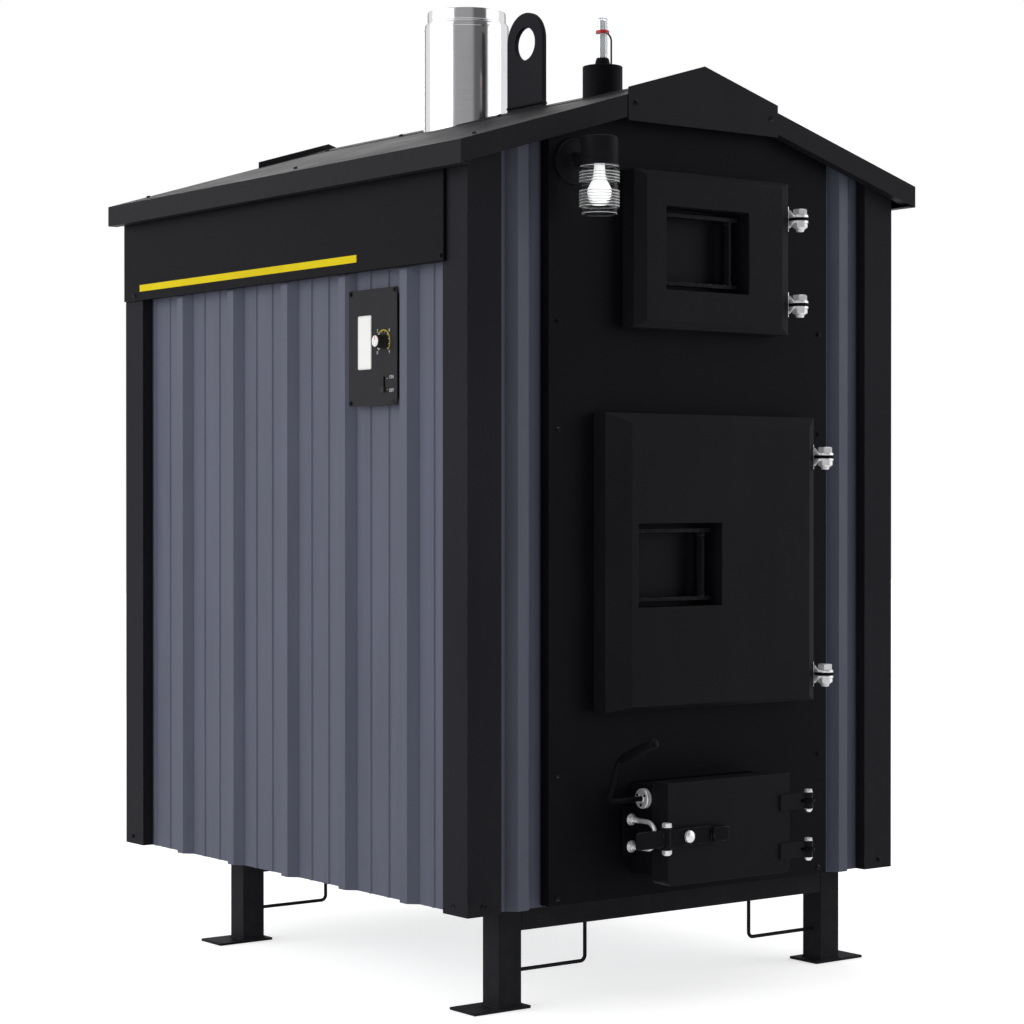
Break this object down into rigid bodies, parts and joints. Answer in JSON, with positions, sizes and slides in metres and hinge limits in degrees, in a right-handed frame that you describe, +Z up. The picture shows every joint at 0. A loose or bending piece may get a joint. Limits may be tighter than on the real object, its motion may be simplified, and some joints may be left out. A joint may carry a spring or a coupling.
{
  "type": "outdoor wood boiler",
  "caption": "Ribbed metal cabinet on legs with a pitched roof, chimney, cleanout door, fire door and ash door with a shaker crank, round a welded water jacket.",
  "frame": {"origin": "middle of the base, on the ground, under the middle of the whole length and width", "axes": "+X to the right seen from the front, +Y to the rear, +Z up; the doors face -Y"},
  "size_m": [1.272, 1.6249, 2.2],
  "materials": {
    "black_paint": "satin",
    "siding_paint": "satin",
    "roof_paint": "satin",
    "bare_plate": "matte",
    "grate_iron": "rough",
    "stainless": "brushed",
    "zinc": "zinc plated",
    "gasket_rope": "woven",
    "foam": "matte",
    "white_plastic": "satin",
    "float_plastic": "gloss",
    "lamp_glass": "clear ribbed",
    "bulb_glass": "frosted",
    "control_paint": "satin",
    "black_plastic": "matte"
  },
  "bodies": {
    "cabinet": {"leg_front_left": "black_paint", "leg_front_right": "black_paint", "leg_rear_left": "black_paint", "leg_rear_right": "black_paint", "cross_rails": "black_paint", "tie_down_rods": "black_paint", "floor_pan": "bare_plate", "corner_trims": "black_paint", "left_siding": "siding_paint", "right_siding": "siding_paint", "rear_siding": "siding_paint", "front_siding": "siding_paint", "front_panel": "black_paint", "header_boards": "black_paint", "roof_left": "roof_paint", "roof_right": "roof_paint", "ridge_cap": "roof_paint", "gable_plates": "roof_paint", "lifting_lug": "black_paint", "chimney_shell": "stainless", "chimney_liner": "stainless", "vent_riser": "black_paint", "vent_cap": "black_paint", "gauge_tube": "white_plastic", "light_fixture": "black_paint", "light_jar": "lamp_glass", "light_bulb": "bulb_glass", "control_plate": "control_paint", "control_display": "white_plastic", "water_jacket": "bare_plate", "insulation": "foam", "firebox": "bare_plate", "heat_exchanger": "bare_plate", "ash_pan": "bare_plate", "fire_door_frame": "black_paint", "cleanout_door_frame": "black_paint", "ash_neck": "black_paint", "ash_u_bolt": "zinc", "shaker_hub": "zinc", "hinge_bolts": "zinc", "panel_screws": "black_paint", "pipe_ports": "bare_plate"},
    "fire_door": {"fire_door": "black_paint", "fire_door_liner": "bare_plate", "fire_door_gasket": "gasket_rope", "fire_door_hinges": "zinc"},
    "fire_handle": {"fire_door_handle": "black_paint"},
    "cleanout_door": {"cleanout_door": "black_paint", "cleanout_door_liner": "bare_plate", "cleanout_door_gasket": "gasket_rope", "cleanout_door_hinges": "zinc"},
    "cleanout_handle": {"cleanout_door_handle": "black_paint"},
    "ash_door": {"ash_door": "black_paint", "ash_door_gasket": "gasket_rope"},
    "ash_lever": {"ash_latch_lever": "black_paint"},
    "shaker": {"shaker_crank": "black_paint"},
    "grate": {"shaker_grate": "grate_iron"},
    "float": {"float_rod": "float_plastic"},
    "knob": {"thermostat_knob": "black_plastic"},
    "switch": {"power_switch": "black_plastic"}
  },
  "joints": [
    {"name": "fire_door_swing", "type": "hinge", "parent": "cabinet", "child": "fire_door", "pos_m": [0.341, -0.65986, 0.912], "axis": [0, 0, 1], "range_deg": [0, 120]},
    {"name": "fire_handle_turn", "type": "hinge", "parent": "fire_door", "child": "fire_handle", "pos_m": [-0.18, -0.63386, 0.905], "axis": [0, 0, -1], "range_deg": [0, 70]},
    {"name": "cleanout_door_swing", "type": "hinge", "parent": "cabinet", "child": "cleanout_door", "pos_m": [0.265, -0.65986, 1.563], "axis": [0, 0, 1], "range_deg": [0, 120]},
    {"name": "cleanout_handle_turn", "type": "hinge", "parent": "cleanout_door", "child": "cleanout_handle", "pos_m": [-0.104, -0.63386, 1.567], "axis": [0, 0, -1], "range_deg": [0, 70]},
    {"name": "ash_door_swing", "type": "hinge", "parent": "cabinet", "child": "ash_door", "pos_m": [0.22, -0.73386, 0.345], "axis": [0, 0, 1], "range_deg": [0, 110]},
    {"name": "ash_lever_turn", "type": "hinge", "parent": "ash_door", "child": "ash_lever", "pos_m": [-0.186, -0.73986, 0.348], "axis": [0, 0, -1], "range_deg": [0, 65]},
    {"name": "shaker_turn", "type": "hinge", "parent": "cabinet", "child": "shaker", "pos_m": [-0.172, -0.65786, 0.422], "axis": [1, 0, 0], "range_deg": [-20, 20]},
    {"name": "grate_slide", "type": "slide", "parent": "cabinet", "child": "grate", "axis": [0, 1, 0], "range_m": [-0.021, 0.021]},
    {"name": "float_rise", "type": "slide", "parent": "cabinet", "child": "float", "axis": [0, 0, 1], "range_m": [-0.048, 0.024]},
    {"name": "knob_turn", "type": "hinge", "parent": "cabinet", "child": "knob", "pos_m": [-0.588, -0.30886, 1.371], "axis": [-1, 0, 0], "range_deg": [0, 270]},
    {"name": "switch_slide", "type": "slide", "parent": "cabinet", "child": "switch", "axis": [0, 0, 1], "range_m": [0, 0.022]}
  ],
  "couplings": [
    {"joint": "grate_slide", "follows": "shaker_turn", "m_per_rad": 0.06}
  ]
}
